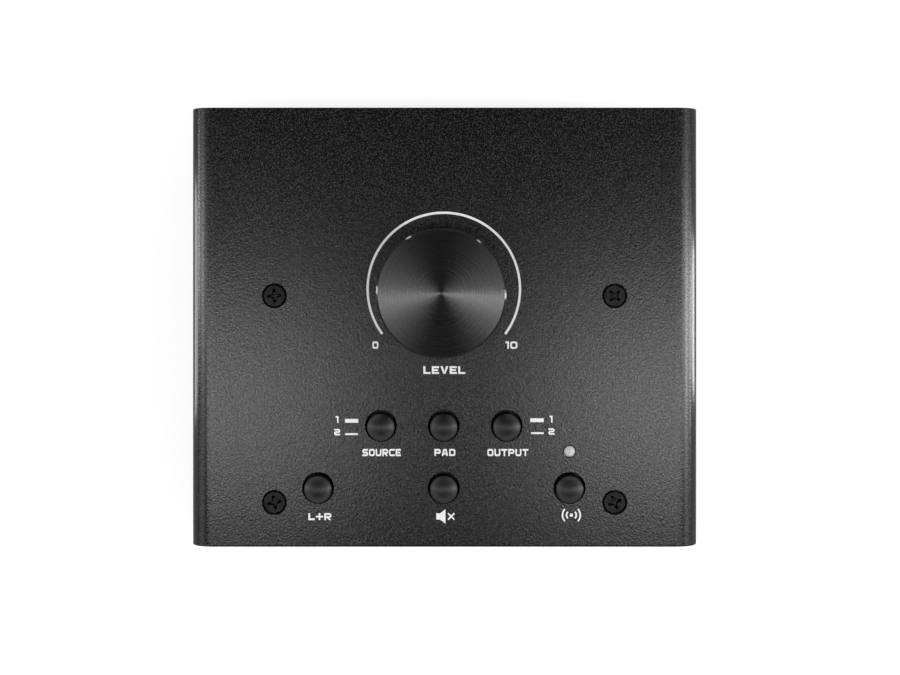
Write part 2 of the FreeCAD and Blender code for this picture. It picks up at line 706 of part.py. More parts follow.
def pot_housing():
    """The potentiometer's case: a round chamber in a square block."""
    block = square_bar(KNOB_X, KNOB_Y, POT_WIDTH, (CONTROL_BOARD_TOP, COVER_UNDER))
    block = rounded(block, POT_WALL, UP)
    block = block.cut(upright(POT_CAVITY_RADIUS, KNOB_X, KNOB_Y, (POT_FLOOR, POT_CEILING)))
    hole = BUSHING_RADIUS + SEAT_GAP
    return block.cut(upright(hole, KNOB_X, KNOB_Y, (POT_CEILING - 1, COVER_UNDER + 1)))


def save_potentiometer():
    at = (KNOB_X, KNOB_Y)
    bore = SHAFT_RADIUS + SHAFT_FIT
    save("pot_housing", [pot_housing()])
    lower = ring(WAFER_RADIUS, SHAFT_RADIUS + WAFER_GAP, *at, (POT_FLOOR, POT_FLOOR + WAFER_WALL))
    inner = BUSHING_FLANGE_RADIUS + WAFER_GAP
    upper = ring(WAFER_RADIUS, inner, *at, (POT_CEILING - WAFER_WALL, POT_CEILING))
    save("pot_wafers", [lower, upper])
    flange = upright(BUSHING_FLANGE_RADIUS, *at, (POT_CEILING - BUSHING_FLANGE, POT_CEILING))
    sleeve = upright(BUSHING_RADIUS, *at, (POT_CEILING - BUSHING_FLANGE, BUSHING_TOP))
    bushing = union([flange, sleeve])
    save("pot_bushing", [bushing.cut(upright(bore, *at, (POT_FLOOR, KNOB_TOP)))])
    washer_top = TOP_FACE + POT_WASHER_WALL
    hole = BUSHING_RADIUS + POT_HOLE_GAP
    save("pot_washer", [ring(POT_WASHER_RADIUS, hole, *at, (TOP_FACE, washer_top))])
    nut_top = washer_top + POT_NUT_HEIGHT
    nut = hexagon(POT_NUT_FLATS, Vector(*at, washer_top), Vector(*at, nut_top))
    save("pot_nut", [nut.cut(upright(BUSHING_RADIUS + THREAD_FIT, *at, (TOP_FACE, KNOB_TOP)))])
    round_part = upright(SHAFT_RADIUS, *at, (ROTOR_BOTTOM, INSERT_BOTTOM))
    flat_part = flatted_rod(SHAFT_RADIUS, SHAFT_FLAT, (INSERT_BOTTOM, SHAFT_TOP))
    save("pot_shaft", [union([round_part, flat_part])])
    discs = [
        upright(ROTOR_HUB_RADIUS, *at, (ROTOR_BOTTOM, ROTOR_TOP)),
        upright(ROTOR_RADIUS, *at, (ROTOR_BOTTOM, ROTOR_BOTTOM + ROTOR_DISC)),
        upright(ROTOR_RADIUS, *at, (ROTOR_TOP - ROTOR_DISC, ROTOR_TOP)),
    ]
    shaft_hole = upright(SHAFT_RADIUS + SEAT_GAP, *at, (CONTROL_BOARD_TOP, KNOB_TOP))
    save("pot_rotor", [union(discs).cut(shaft_hole)])


def volume_knob():
    """The turned knob: a deep cap with a broken edge and a pointer groove at the rear."""
    shell = turned_profile(
        [
            (0, KNOB_CEILING),
            (KNOB_RADIUS - KNOB_WALL, KNOB_CEILING),
            (KNOB_RADIUS - KNOB_WALL, KNOB_BOTTOM),
            (KNOB_RADIUS - KNOB_EDGE_BREAK, KNOB_BOTTOM),
            (KNOB_RADIUS, KNOB_BOTTOM + KNOB_EDGE_BREAK),
            (KNOB_RADIUS, KNOB_TOP - KNOB_EDGE_BREAK),
            (KNOB_RADIUS - KNOB_EDGE_BREAK, KNOB_TOP),
            (0, KNOB_TOP),
        ]
    )
    shell.translate(Vector(KNOB_X, KNOB_Y, 0))
    end = KNOB_Y + KNOB_RADIUS - KNOB_EDGE_BREAK - POINTER_INSET
    half = POINTER_WIDTH / 2
    z = (KNOB_TOP - POINTER_DEPTH, KNOB_TOP + 1)
    groove = box((KNOB_X - half, KNOB_X + half), (end - POINTER_LENGTH + half, end - half), z)
    for y in (end - POINTER_LENGTH + half, end - half):
        groove = groove.fuse(upright(half, KNOB_X, y, z))
    return shell.cut(groove)


def knob_insert():
    """The core glued in the knob, with a bore that fits the shaft's flat."""
    outer = KNOB_RADIUS - KNOB_WALL - SEAT_GAP
    disc = upright(outer, KNOB_X, KNOB_Y, (KNOB_CEILING - INSERT_DISC, KNOB_CEILING))
    hub = upright(INSERT_HUB_RADIUS, KNOB_X, KNOB_Y, (INSERT_BOTTOM, KNOB_CEILING))
    z = (INSERT_BOTTOM - 1, SHAFT_TOP + SEAT_GAP)
    return union([disc, hub]).cut(flatted_rod(SHAFT_RADIUS + SEAT_GAP, SHAFT_FLAT + SEAT_GAP, z))


def button_cap(x, y):
    """A domed round cap with a square socket for the plunger's stem."""
    rim = CAP_TOP - CAP_DOME
    edge = CAP_RADIUS - CAP_EDGE_BREAK
    crown = (edge**2 + CAP_DOME**2) / (2 * CAP_DOME)
    lean = math.asin(edge / crown) / 2
    middle = Vector(crown * math.sin(lean), 0, CAP_TOP - crown * (1 - math.cos(lean)))
    dome = Part.Arc(Vector(0, 0, CAP_TOP), middle, Vector(edge, 0, rim)).toShape()
    sides = Part.makePolygon(
        [
            Vector(edge, 0, rim),
            Vector(CAP_RADIUS, 0, rim - CAP_EDGE_BREAK),
            Vector(CAP_RADIUS, 0, CAP_BOTTOM),
            Vector(0, 0, CAP_BOTTOM),
            Vector(0, 0, CAP_TOP),
        ]
    )
    face = Part.Face(Part.Wire([dome] + sides.Edges))
    cap = face.revolve(Vector(0, 0, 0), UP, 360)
    cap.translate(Vector(x, y, 0))
    socket = STEM_WIDTH + 2 * SEAT_GAP
    return cap.cut(square_bar(x, y, socket, (CAP_BOTTOM - 1, STEM_TOP + SEAT_GAP)))


def plunger(x, y):
    """The moving core of a switch: a block that stays inside and a stem that carries the cap."""
    block = square_bar(x, y, PLUNGER_BLOCK, (BLOCK_BOTTOM, BLOCK_TOP))
    return union([block, square_bar(x, y, STEM_WIDTH, (BLOCK_BOTTOM, STEM_TOP))])


def switch_housing(x, y):
    """A square switch body with a chamber and a hole in its lid for the stem."""
    body = square_bar(x, y, SWITCH_WIDTH, (CONTROL_BOARD_TOP, SWITCH_TOP))
    body = rounded(body, SWITCH_CORNER, UP)
    chamber = PLUNGER_BLOCK + 2 * PLUNGER_GAP
    body = body.cut(square_bar(x, y, chamber, (SWITCH_CAVITY_FLOOR, SWITCH_CAVITY_TOP)))
    hole = STEM_WIDTH + 2 * PLUNGER_GAP
    return body.cut(square_bar(x, y, hole, (SWITCH_CAVITY_TOP - 1, SWITCH_TOP + 1)))


def save_buttons():
    for name, (x, y) in KEYS.items():
        save(name + "_button", [button_cap(x, y)])
        save(name + "_plunger", [plunger(x, y)])
    save("switch_housings", [switch_housing(x, y) for x, y in KEYS.values()])


def save_lamp():
    top = TOP_FACE + LAMP_RISE
    bottom = top - LAMP_LENGTH
    stem = upright(LAMP_RADIUS, LAMP_X, LAMP_Y, (bottom, top - LAMP_RADIUS))
    dome = Part.makeSphere(LAMP_RADIUS, Vector(LAMP_X, LAMP_Y, top - LAMP_RADIUS))
    flange = upright(LAMP_FLANGE_RADIUS, LAMP_X, LAMP_Y, (bottom, bottom + LAMP_FLANGE))
    save("status_lamp", [union([stem, dome, flange])])
    z = (CONTROL_BOARD_TOP, bottom)
    save("lamp_spacer", [ring(LAMP_SPACER_RADIUS, LAMP_SPACER_BORE, LAMP_X, LAMP_Y, z)])


# Input and output board


def io_standoff_places():
    """The posts under the board's front edge. Its rear edge is held by the sockets."""
    y = IO_BOARD_FRONT + IO_STANDOFF_INSET / 2
    end = IO_BOARD_HALF_WIDTH - IO_STANDOFF_INSET
    return [(-end, y), (0, y), (end, y)]


def io_board():
    """The board that carries the sockets."""
    half = IO_BOARD_HALF_WIDTH
    z = (IO_BOARD_UNDER, IO_BOARD_TOP)
    board = rounded(box((-half, half), (IO_BOARD_FRONT, IO_BOARD_REAR), z), BOARD_CORNER, UP)
    holes = [upright(CLEARANCE_RADIUS, x, y, (z[0] - 1, z[1] + 1)) for x, y in io_standoff_places()]
    return board.cut(Part.makeCompound(holes))


def save_io_board():
    save("io_board", [io_board()])
    z = (FLOOR_TOP, IO_BOARD_UNDER)
    bore = (z[0] + IO_BORE_FLOOR, z[1] + 1)
    places = io_standoff_places()
    save("io_standoffs", [standoff(x, y, z, [bore]) for x, y in places])
    seats = [Vector(x, y, IO_BOARD_TOP) for x, y in places]
    save("io_board_screws", [pan_screw(seat, UP, IO_SCREW_LENGTH) for seat in seats])


# Sockets


def jack_housing(x):
    """A 6.35 mm socket's moulded body, bored for the plug and for the root of its bushing."""
    half = JACK_WIDTH / 2
    body = box((x - half, x + half), (JACK_BACK, PANEL_INNER), (IO_BOARD_TOP, IO_BOARD_TOP + JACK_HEIGHT))
    body = rounded(body, JACK_CORNER, REARWARD)
    body = body.cut(rearward(JACK_BORE_RADIUS, x, JACK_Z, (JACK_BORE_END, PANEL_INNER + 1)))
    root = (PANEL_INNER - JACK_BUSHING_ROOT, PANEL_INNER + 1)
    return body.cut(rearward(JACK_BUSHING_RADIUS + SEAT_GAP, x, JACK_Z, root))


def jack_bushing(x):
    """The threaded sleeve that stands through the rear panel."""
    y = (PANEL_INNER - JACK_BUSHING_ROOT, JACK_MOUTH)
    sleeve = rearward(JACK_BUSHING_RADIUS, x, JACK_Z, y)
    return sleeve.cut(rearward(JACK_BORE_RADIUS, x, JACK_Z, (y[0] - 1, y[1] + 1)))


def jack_washer(x):
    y = (REAR_FACE, REAR_FACE + JACK_WASHER_WALL)
    disc = rearward(JACK_WASHER_RADIUS, x, JACK_Z, y)
    return disc.cut(rearward(JACK_BUSHING_RADIUS + PANEL_HOLE_GAP, x, JACK_Z, (y[0] - 1, y[1] + 1)))


def jack_nut(x):
    start = REAR_FACE + JACK_WASHER_WALL
    end = start + JACK_NUT_HEIGHT
    nut = hexagon(JACK_NUT_FLATS, Vector(x, start, JACK_Z), Vector(x, end, JACK_Z))
    return nut.cut(rearward(JACK_BUSHING_RADIUS + THREAD_FIT, x, JACK_Z, (start - 1, end + 1)))


def save_jacks():
    """Two outputs and one input, each a left and right pair of 6.35 mm sockets."""
    pairs = {"output_a_jacks": JACK_X[0:2], "output_b_jacks": JACK_X[2:4], "input_jacks": JACK_X[4:6]}
    for node, places in pairs.items():
        save(node, [jack_housing(x) for x in places])
    save("jack_bushings", [jack_bushing(x) for x in JACK_X])
    save("jack_washers", [jack_washer(x) for x in JACK_X])
    save("jack_nuts", [jack_nut(x) for x in JACK_X])


def save_mini_jack():
    """The 3.5 mm socket and the ring nut on its neck."""
    half = MINI_WIDTH / 2
    back = PANEL_INNER - MINI_DEPTH
    z = (IO_BOARD_TOP, IO_BOARD_TOP + MINI_HEIGHT)
    block = box((MINI_X - half, MINI_X + half), (back, PANEL_INNER), z)
    neck = rearward(MINI_NECK_RADIUS, MINI_X, MINI_Z, (back, MINI_MOUTH))
    bore = (MINI_MOUTH - MINI_BORE_LENGTH, MINI_MOUTH + 1)
    body = union([block, neck]).cut(rearward(MINI_BORE_RADIUS, MINI_X, MINI_Z, bore))
    save("mini_jack", [body])
    nut = rearward(MINI_NUT_RADIUS, MINI_X, MINI_Z, (REAR_FACE, MINI_MOUTH))
    hole = rearward(MINI_NECK_RADIUS + THREAD_FIT, MINI_X, MINI_Z, (REAR_FACE - 1, MINI_MOUTH + 1))
    save("mini_jack_nut", [nut.cut(hole)])


def save_power_inlet():
    """The low-voltage inlet, a round well with a pin on its axis."""
    half = INLET_WIDTH / 2
    back = PANEL_INNER - INLET_DEPTH
    z = (IO_BOARD_TOP, IO_BOARD_TOP + INLET_HEIGHT)
    block = box((INLET_X - half, INLET_X + half), (back, PANEL_INNER), z)
    neck = rearward(INLET_NECK_RADIUS, INLET_X, INLET_Z, (back, INLET_MOUTH))
    well_floor = INLET_MOUTH - INLET_BORE_LENGTH
    body = union([block, neck])
    body = body.cut(rearward(INLET_BORE_RADIUS, INLET_X, INLET_Z, (well_floor, INLET_MOUTH + 1)))
    root = well_floor - INLET_PIN_ROOT
    body = body.cut(rearward(INLET_PIN_RADIUS + SEAT_GAP, INLET_X, INLET_Z, (root, INLET_MOUTH)))
    save("power_inlet", [body])
    pin = rearward(INLET_PIN_RADIUS, INLET_X, INLET_Z, (root, INLET_MOUTH - INLET_PIN_SINK))
    tip = [e for e in pin.Edges if abs(e.CenterOfMass.y - (INLET_MOUTH - INLET_PIN_SINK)) < 1e-6]
    save("inlet_pin", [pin.makeFillet(INLET_PIN_RADIUS / 2, tip)])


# Power switch


def power_rocker():
    """The rocker, modelled level and then tipped to its off position."""
    profile = [
        (-ROCKER_HALF_LENGTH, ROCKER_TIP),
        (0, ROCKER_WAIST),
        (ROCKER_HALF_LENGTH, ROCKER_TIP),
        (ROCKER_HALF_LENGTH, -ROCKER_SHOULDER),
        (ROCKER_KEEL_HALF, -ROCKER_KEEL),
        (-ROCKER_KEEL_HALF, -ROCKER_KEEL),
        (-ROCKER_HALF_LENGTH, -ROCKER_SHOULDER),
    ]
    left = POWER_X - ROCKER_WIDTH / 2
    corners = [Vector(left, PIVOT_Y + out, POWER_Z + along) for along, out in profile]
    blade = Part.Face(Part.makePolygon(corners + corners[:1])).extrude(Vector(ROCKER_WIDTH, 0, 0))
    reach = ROCKER_WIDTH / 2 + TRUNNION_LENGTH
    start = Vector(POWER_X - reach, PIVOT_Y, POWER_Z)
    rocker = union([blade, rod(TRUNNION_RADIUS, start, Vector(POWER_X + reach, PIVOT_Y, POWER_Z))])
    rocker.rotate(Vector(POWER_X, PIVOT_Y, POWER_Z), Vector(1, 0, 0), -ROCKER_THROW / 2)
    return rocker


def power_housing():
    """The rocker's case, clipped in the panel by its flange, with two terminals at its back."""

    def centred(width, y, length):
        x = (POWER_X - width / 2, POWER_X + width / 2)
        return box(x, y, (POWER_Z - length / 2, POWER_Z + length / 2))

    back = REAR_FACE - POWER_BODY_DEPTH
    flange = centred(POWER_FLANGE_WIDTH, (REAR_FACE, POWER_FACE), POWER_FLANGE_LENGTH)
    body = union([flange, centred(POWER_BODY_WIDTH, (back, REAR_FACE), POWER_BODY_LENGTH)])
    sweep = math.hypot(ROCKER_HALF_LENGTH, ROCKER_TIP) + ROCKER_SIDE_GAP
    well_floor = PIVOT_Y - math.hypot(ROCKER_KEEL_HALF, ROCKER_KEEL) - ROCKER_END_GAP
    well_width = ROCKER_WIDTH + 2 * ROCKER_SIDE_GAP
    body = body.cut(centred(well_width, (well_floor, POWER_FACE + 1), 2 * sweep))
    reach = ROCKER_WIDTH / 2 + TRUNNION_LENGTH + ROCKER_SIDE_GAP
    start = Vector(POWER_X - reach, PIVOT_Y, POWER_Z)
    bearing = rod(TRUNNION_RADIUS + SHAFT_FIT, start, Vector(POWER_X + reach, PIVOT_Y, POWER_Z))
    body = body.cut(bearing)
    for side in (-1, 1):
        z = POWER_Z + side * POWER_BODY_LENGTH / 4
        blade = box(
            (POWER_X - POWER_TERMINAL_WIDTH / 2, POWER_X + POWER_TERMINAL_WIDTH / 2),
            (back - POWER_TERMINAL_LENGTH, back),
            (z - POWER_TERMINAL_WALL / 2, z + POWER_TERMINAL_WALL / 2),
        )
        body = body.fuse(blade)
    return body


def save_power_switch():
    save("power_housing", [power_housing()])
    save("power_rocker", [power_rocker()])


# Parts on the boards


def save_wireless_module():
    """A small radio board with a screening can over most of it."""
    half_length = MODULE_LENGTH / 2
    half_width = MODULE_WIDTH / 2
    x = (MODULE_X - half_length, MODULE_X + half_length)
    y = (MODULE_Y - half_width, MODULE_Y + half_width)
    top = CONTROL_BOARD_TOP + MODULE_BOARD
    board = box(x, y, (CONTROL_BOARD_TOP, top))
    left = x[0] + MODULE_CAN_MARGIN
    inside = (y[0] + MODULE_CAN_MARGIN, y[1] - MODULE_CAN_MARGIN)
    can = box((left, left + MODULE_CAN_LENGTH), inside, (top, top + MODULE_CAN_HEIGHT))
    save("wireless_board", [board])
    save("wireless_can", [rounded(can, MODULE_CAN_MARGIN / 2, UP)])


def save_chips():
    """A row of amplifier chips on the control board."""
    chips = []
    for i in range(CHIP_COUNT):
        y = CHIP_FIRST_Y + i * CHIP_PITCH
        x = (CHIP_X - CHIP_LENGTH / 2, CHIP_X + CHIP_LENGTH / 2)
        along = (y - CHIP_WIDTH / 2, y + CHIP_WIDTH / 2)
        chip = box(x, along, (CONTROL_BOARD_TOP, CONTROL_BOARD_TOP + CHIP_HEIGHT))
        top = [e for e in chip.Edges if abs(e.CenterOfMass.z - CONTROL_BOARD_TOP - CHIP_HEIGHT) < 1e-6]
        chips.append(chip.makeChamfer(CHIP_EDGE_BREAK, top))
    save("amplifier_chips", chips)


def save_capacitors():
    """A row of upright cans on the input and output board."""
    cans = []
    for i in range(CAPACITOR_COUNT):
        x = CAPACITOR_FIRST_X + i * CAPACITOR_PITCH
        top = IO_BOARD_TOP + CAPACITOR_HEIGHT
        can = upright(CAPACITOR_RADIUS, x, CAPACITOR_Y, (IO_BOARD_TOP, top))
        crown = [e for e in can.Edges if abs(e.CenterOfMass.z - top) < 1e-6]
        cans.append(can.makeFillet(CAPACITOR_EDGE_ROUND, crown))
    save("filter_capacitors", cans)


def save_regulator():
    """An upright voltage regulator: a moulded block on three legs, with a metal tab behind it."""
    x = (REGULATOR_X - REGULATOR_WIDTH / 2, REGULATOR_X + REGULATOR_WIDTH / 2)
    back = REGULATOR_Y + REGULATOR_TAB_WALL
    low = IO_BOARD_TOP + REGULATOR_LIFT
    high = low + REGULATOR_BODY_HEIGHT
    pieces = [box(x, (back - REGULATOR_WALL, REGULATOR_Y), (low, high))]
    leg = REGULATOR_WIDTH / 10
    for i in (-1, 0, 1):
        middle = REGULATOR_X + i * REGULATOR_WIDTH / 4
        across = (middle - leg / 2, middle + leg / 2)
        pieces.append(box(across, (REGULATOR_Y - leg, REGULATOR_Y - leg / 2), (IO_BOARD_TOP, low)))
    save("voltage_regulator", [union(pieces)])
    tab_top = high + REGULATOR_TAB_HEIGHT
    tab = box(x, (REGULATOR_Y, back), (low, tab_top))
    middle = tab_top - REGULATOR_TAB_HEIGHT / 2
    hole = rearward(REGULATOR_HOLE_RADIUS, REGULATOR_X, middle, (REGULATOR_Y - 1, back + 1))
    save("regulator_tab", [tab.cut(hole)])


def save_ribbon():
    """The flat cable between the boards, with a header and a plug at each end."""

    def bar(length, width, y, z):
        x = (HEADER_X - length / 2, HEADER_X + length / 2)
        return box(x, (y - width / 2, y + width / 2), z)

    upper_seat = CONTROL_BOARD_UNDER - HEADER_HEIGHT
    lower_seat = IO_BOARD_TOP + HEADER_HEIGHT
    upper = bar(HEADER_LENGTH, HEADER_WIDTH, UPPER_HEADER_Y, (upper_seat, CONTROL_BOARD_UNDER))
    lower = bar(HEADER_LENGTH, HEADER_WIDTH, LOWER_HEADER_Y, (IO_BOARD_TOP, lower_seat))
    save("board_headers", [upper, lower])
    hanging = bar(PLUG_LENGTH, PLUG_WIDTH, UPPER_HEADER_Y, (upper_seat - PLUG_HEIGHT, upper_seat))
    standing = bar(PLUG_LENGTH, PLUG_WIDTH, LOWER_HEADER_Y, (lower_seat, lower_seat + PLUG_HEIGHT))
    save("ribbon_plugs", [hanging, standing])
    left = HEADER_X - RIBBON_WIDTH / 2
    start = Vector(left, UPPER_HEADER_Y + PLUG_WIDTH / 2, upper_seat - PLUG_HEIGHT / 2)
    end = Vector(left, LOWER_HEADER_Y - PLUG_WIDTH / 2, lower_seat + PLUG_HEIGHT / 2)
    low = Vector(left, (start.y + end.y) / 2, min(start.z, end.z) - RIBBON_SAG)
    lift = Vector(0, 0, RIBBON_WALL)
    under = Part.Arc(start, low, end).toShape()
    over = Part.Arc(start + lift, low + lift, end + lift).toShape()
    ends = [Part.makeLine(end, end + lift), Part.makeLine(start + lift, start)]
    outline = Part.Wire(Part.__sortEdges__([under, over] + ends))
    save("ribbon_cable", [Part.Face(outline).extrude(Vector(RIBBON_WIDTH, 0, 0))])


os.makedirs("parts", exist_ok=True)
save_case()
save_control_board()
save_potentiometer()
save("volume_knob", [volume_knob()])
save("knob_insert", [knob_insert()])
save_buttons()
save_lamp()
save_io_board()
save_jacks()
save_mini_jack()
save_power_inlet()
save_power_switch()
save_wireless_module()
save_chips()
save_capacitors()
save_regulator()
save_ribbon()
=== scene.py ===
import json
import math

import bmesh
import bpy
from mathutils import Matrix, Vector


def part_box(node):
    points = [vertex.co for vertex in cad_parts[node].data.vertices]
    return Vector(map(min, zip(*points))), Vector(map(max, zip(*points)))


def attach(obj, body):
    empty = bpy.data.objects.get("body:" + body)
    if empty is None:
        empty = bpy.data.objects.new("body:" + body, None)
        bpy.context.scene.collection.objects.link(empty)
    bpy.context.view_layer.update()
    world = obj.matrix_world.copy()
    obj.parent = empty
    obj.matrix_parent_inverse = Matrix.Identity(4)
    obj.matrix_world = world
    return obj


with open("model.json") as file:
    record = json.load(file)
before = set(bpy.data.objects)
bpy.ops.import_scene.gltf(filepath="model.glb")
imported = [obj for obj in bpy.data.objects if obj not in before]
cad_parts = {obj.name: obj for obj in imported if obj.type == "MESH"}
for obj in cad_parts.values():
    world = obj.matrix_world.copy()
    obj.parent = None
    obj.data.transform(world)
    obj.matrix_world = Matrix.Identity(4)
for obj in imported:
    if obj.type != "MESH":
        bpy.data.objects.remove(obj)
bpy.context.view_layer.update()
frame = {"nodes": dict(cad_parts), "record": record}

# Studio monitor controller, photographed from straight above. Metres, +X right, +Y to the rear, +Z up.

# The photograph's own pixels, in a frame of 900 by 675
PIXELS_PER_METRE = 3869
CASE_CENTRE_PX = (444.7, 327.3)

# Places taken from the CAD parts
TOP_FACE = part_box("top_cover")[1].z
KNOB_LOW, KNOB_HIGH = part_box("volume_knob")
KNOB_X = (KNOB_LOW.x + KNOB_HIGH.x) / 2
KNOB_Y = (KNOB_LOW.y + KNOB_HIGH.y) / 2
REAR_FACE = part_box("rear_panel")[1].y

# The knob's broken edge: its width, how far below the knob's top it fades in, and over what radius
KNOB_EDGE = 0.00045
KNOB_RIM = (KNOB_HIGH.x - KNOB_LOW.x) / 2 - KNOB_EDGE
EDGE_STARTS_BELOW = 0.0006
EDGE_FULL_BELOW = 0.0005
EDGE_FADE = 0.00005

# The patterns of the finishes: how fine, how steep and how deep they are
NOISE_ROUGHNESS = 0.55
LATHE_RINGS = 9000.0
LATHE_LEAN = 0.08
THREAD_RIDGES = 420.0
THREAD_DEPTH = 0.00008
BOARD_TRACKS = 120.0
TRACK_DEPTH = 0.00003
TRACK_GAP_SHADE = 0.6

# White print: how far it sinks into the paint and stands above it
PRINT_SINK = 0.00002
PRINT_RISE = 0.00003

# The arc around the knob, which runs as far to the left of straight up as to the right
DIAL_PX = (443.9, 289.0)
DIAL_RADIUS = 0.02
DIAL_LINE = 0.00061
DIAL_END = math.radians(126.3)
DIAL_STEPS = 160

# Letters, in shares of their height
LETTER_LINE = 0.245
LETTER_CORNER = 0.12
LETTER_GAP = 0.17
LETTER_WIDTH = 1.0
NARROW_WIDTHS = {"1": 0.5, "L": 0.9, "E": 0.92, " ": 0.6}
A_SLOPE = 0.2
A_BAR_RISE = 0.2
R_LEG_TOP = 0.8
R_LEG_FOOT = 1.3
V_ARM = 1.15
V_NOTCH = 0.3

# Words and numbers: the pixels of the photograph that each fills, as left, right, top and bottom
WORDS = {
    "dial_low": ("0", 372.5, 378.5, 341.5, 348.8),
    "dial_high": ("10", 505.5, 517.5, 341.5, 348.8),
    "level": ("LEVEL", 423.5, 465.5, 366.3, 374.0),
    "source": ("SOURCE", 362.5, 401.0, 449.0, 456.2),
    "pad": ("PAD", 434.5, 455.5, 449.0, 456.2),
    "output": ("OUTPUT", 487.5, 528.5, 449.0, 456.2),
    "mono": ("L+R", 308.5, 331.5, 513.2, 520.2),
    "source_1": ("1", 335.8, 338.6, 416.2, 423.0),
    "source_2": ("2", 334.3, 340.3, 429.0, 435.4),
    "output_1": ("1", 549.8, 552.6, 415.8, 422.6),
    "output_2": ("2", 548.6, 554.6, 428.4, 434.8),
}

# Pairs of bars, each bar as left, right, top and bottom in pixels
BARS = {
    "source_bars": ((345.2, 358.4, 419.0, 422.8), (345.2, 358.0, 433.3, 435.1)),
    "output_bars": ((530.4, 543.8, 418.4, 422.2), (531.2, 543.8, 432.3, 434.1)),
}

# Symbols: places in pixels, sizes in metres
SPEAKER_PX = (
    (436.4, 513.4),
    (440.2, 513.4),
    (445.6, 509.2),
    (445.6, 523.8),
    (440.2, 519.6),
    (436.4, 519.6),
)
CROSS_PX = (451.3, 516.5)
CROSS_REACH = 0.00115
CROSS_LINE = 0.00038
WAVES_PX = (571.5, 515.2)
WAVE_RADII = (0.00125, 0.0023)
WAVE_LINE = 0.0004
WAVE_HALF_TURN = 0.75
WAVE_STEPS = 16
DOT_RADIUS = 0.00045
DOT_CORNERS = 16

# Words on the rear panel: the middle of each in millimetres along X and Z, and its width and height
REAR_WORDS = {
    "rear_output": ("OUTPUT", -31.3, 36.6, 9.4, 1.8),
    "rear_output_1l": ("1 L", -54.4, 32.4, 3.4, 1.6),
    "rear_output_1r": ("1 R", -39.0, 32.4, 3.4, 1.6),
    "rear_output_2l": ("2 L", -23.6, 32.4, 3.8, 1.6),
    "rear_output_2r": ("2 R", -8.2, 32.4, 3.8, 1.6),
    "rear_source": ("SOURCE", 20.9, 36.6, 9.4, 1.8),
    "rear_source_1l": ("1 L", 7.2, 32.4, 3.4, 1.6),
    "rear_source_1r": ("1 R", 22.6, 32.4, 3.4, 1.6),
    "rear_source_2": ("2", 34.7, 32.4, 1.2, 1.6),
    "rear_inlet": ("DC", 44.5, 32.4, 3.0, 1.6),
}
MILLIMETRES = 1000
FACING_REAR = Matrix(((-1, 0, 0, 0), (0, 0, 1, REAR_FACE), (0, 1, 0, 0), (0, 0, 0, 1)))

# How bright the surroundings are from the horizon, at 0, to straight overhead, at 1
SKY = ((0.03, 0.05), (0.14, 1.15), (0.5, 1.2), (0.66, 0.04), (0.95, 0.01))

# The floor's half width, its own grey, and what is added to it where the camera sees it
FLOOR_REACH = 6.0
FLOOR_GREY = 0.5
FLOOR_LIFT = 0.72

# Lights that face down on either side, as side and glow
STRIPS = ((-1, 6.7), (1, 7.6))
STRIP_X = 0.59
STRIP_Y = -0.098
STRIP_RISE = 1.2
STRIP_SIZE = (1.01, 0.155)

# Lights that face the case from the sides: place, width and height, glow, and the height that they aim at
SIDE_LIGHTS = {
    "left_box": ((-0.95, -0.005, 0.66), (0.12, 0.6), 4.2, 0.05),
    "right_box": ((0.95, -0.035, 0.66), (0.15, 0.6), 7.4, 0.05),
    "left_edge": ((-0.6, 0.02, 0.2), (0.06, 0.34), 4.0, 0.06),
    "right_edge": ((0.6, -0.01, 0.2), (0.07, 0.34), 8.4, 0.06),
}

# Bright cards that lie on the floor and face up, as side, place along Y, width and glow
CARDS = ((-1, 0.006, 0.07, 4.4), (1, 0.0, 0.045, 9.0))
CARD_X = 0.34
CARD_LENGTH = 0.44
CARD_RISE = 0.003

# Low lights around the knob that glint on its broken edge, as the angle in degrees and the width
GLINTS = ((-2.5, 0.1), (53.7, 0.07), (120.8, 0.07), (177.5, 0.1))
GLINT_TALL = 0.07
GLINT_RISE = 0.045
GLINT_GLOW = 17.0
GLINT_AIM = (0.0, 0.0, 0.06)

# Camera, straight above, with the case to the left and below its axis as in the photograph
CAMERA_PLACE = (0.0014, 0.0153)
CAMERA_RISE = 0.546
LENS = 84.5
SENSOR = 36
FRAME_SHIFT = -0.0772
CLIP_START = 0.01


# Materials


def new_material(name):
    """An empty node material and its shader."""
    made = bpy.data.materials.new(name)
    made.use_nodes = True
    made.node_tree.nodes.clear()
    output = made.node_tree.nodes.new("ShaderNodeOutputMaterial")
    shader = made.node_tree.nodes.new("ShaderNodeBsdfPrincipled")
    made.node_tree.links.new(shader.outputs[0], output.inputs["Surface"])
    return made, shader


def add(shader, kind, **inputs):
    """A node in the shader's tree, with its inputs set or linked."""
    tree = shader.id_data
    node = tree.nodes.new(kind)
    for name, value in inputs.items():
        socket = node.inputs[name.replace("_", " ")]
        if isinstance(value, bpy.types.NodeSocket):
            tree.links.new(value, socket)
        else:
            socket.default_value = value
    return node


def place(shader):
    """Coordinates in metres in the part's own frame."""
    return add(shader, "ShaderNodeTexCoord").outputs["Object"]


def noise(shader, grain, detail=3.0):
    """Noise whose grain is about that many metres across."""
    values = {"Vector": place(shader), "Scale": 1 / grain, "Detail": detail, "Roughness": NOISE_ROUGHNESS}
    return add(shader, "ShaderNodeTexNoise", **values).outputs[0]


def multiplied(shader, first, second):
    """The product of two values."""
    node = add(shader, "ShaderNodeMath")
    node.operation = "MULTIPLY"
    shader.id_data.links.new(first, node.inputs[0])
    shader.id_data.links.new(second, node.inputs[1])
    return node.outputs[0]


